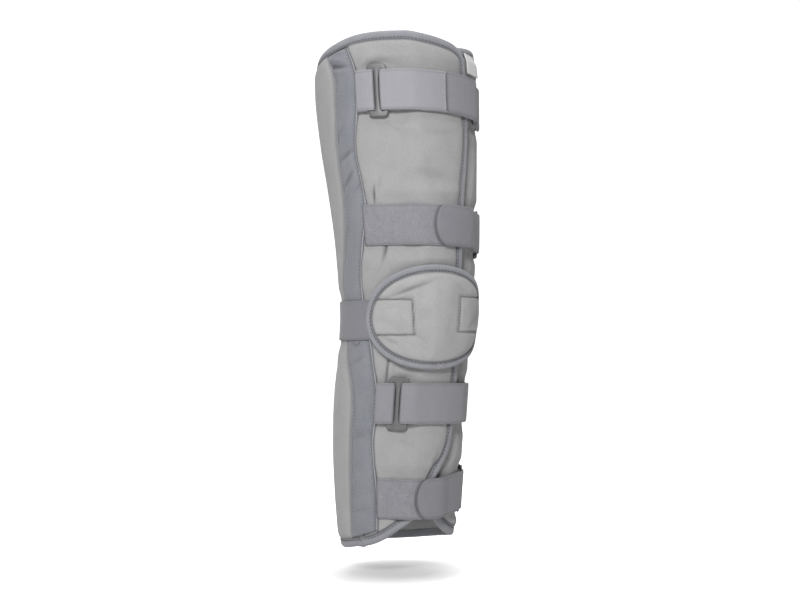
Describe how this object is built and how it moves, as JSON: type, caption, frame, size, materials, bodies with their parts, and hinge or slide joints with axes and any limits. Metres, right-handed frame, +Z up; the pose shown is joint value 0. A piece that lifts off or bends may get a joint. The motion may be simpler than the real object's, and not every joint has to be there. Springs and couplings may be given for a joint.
{
  "type": "knee immobilizer",
  "caption": "Grey foam knee immobilizer with bound edges, side stay tapes, webbing straps through plastic slides and a round knee pad, held in its worn shape.",
  "frame": {"origin": "middle of the leg hollow at the height of the kneecap", "axes": "+Z up along the leg towards the hip, -Y out of the front of the knee, +X to the right seen from the front"},
  "size_m": [0.1588, 0.1807, 0.4878],
  "materials": {
    "foam_fabric": "matte brushed loop fabric over foam",
    "binding": "folded knitted edge binding",
    "stay_tape": "woven tape",
    "webbing": "flat woven webbing with hook and loop faces",
    "slide_plastic": "moulded plastic, matte",
    "tag": "smooth white label cloth, blank"
  },
  "bodies": {
    "root": {"back_panel": "foam_fabric", "front_flap": "foam_fabric", "under_flap": "foam_fabric", "knee_pad": "foam_fabric", "front_flap_binding": "binding", "under_flap_binding": "binding", "back_top_binding": "binding", "back_bottom_binding": "binding", "knee_pad_binding": "binding", "left_stay_tape": "stay_tape", "right_stay_tape": "stay_tape", "knee_strap": "webbing", "care_tag": "tag", "upper_thigh_strap": "webbing", "upper_thigh_tab": "webbing", "upper_thigh_slide": "slide_plastic", "lower_thigh_strap": "webbing", "lower_thigh_tab": "webbing", "lower_thigh_slide": "slide_plastic", "upper_calf_strap": "webbing", "upper_calf_tab": "webbing", "upper_calf_slide": "slide_plastic", "lower_calf_strap": "webbing", "lower_calf_tab": "webbing", "lower_calf_slide": "slide_plastic"}
  },
  "joints": []
}
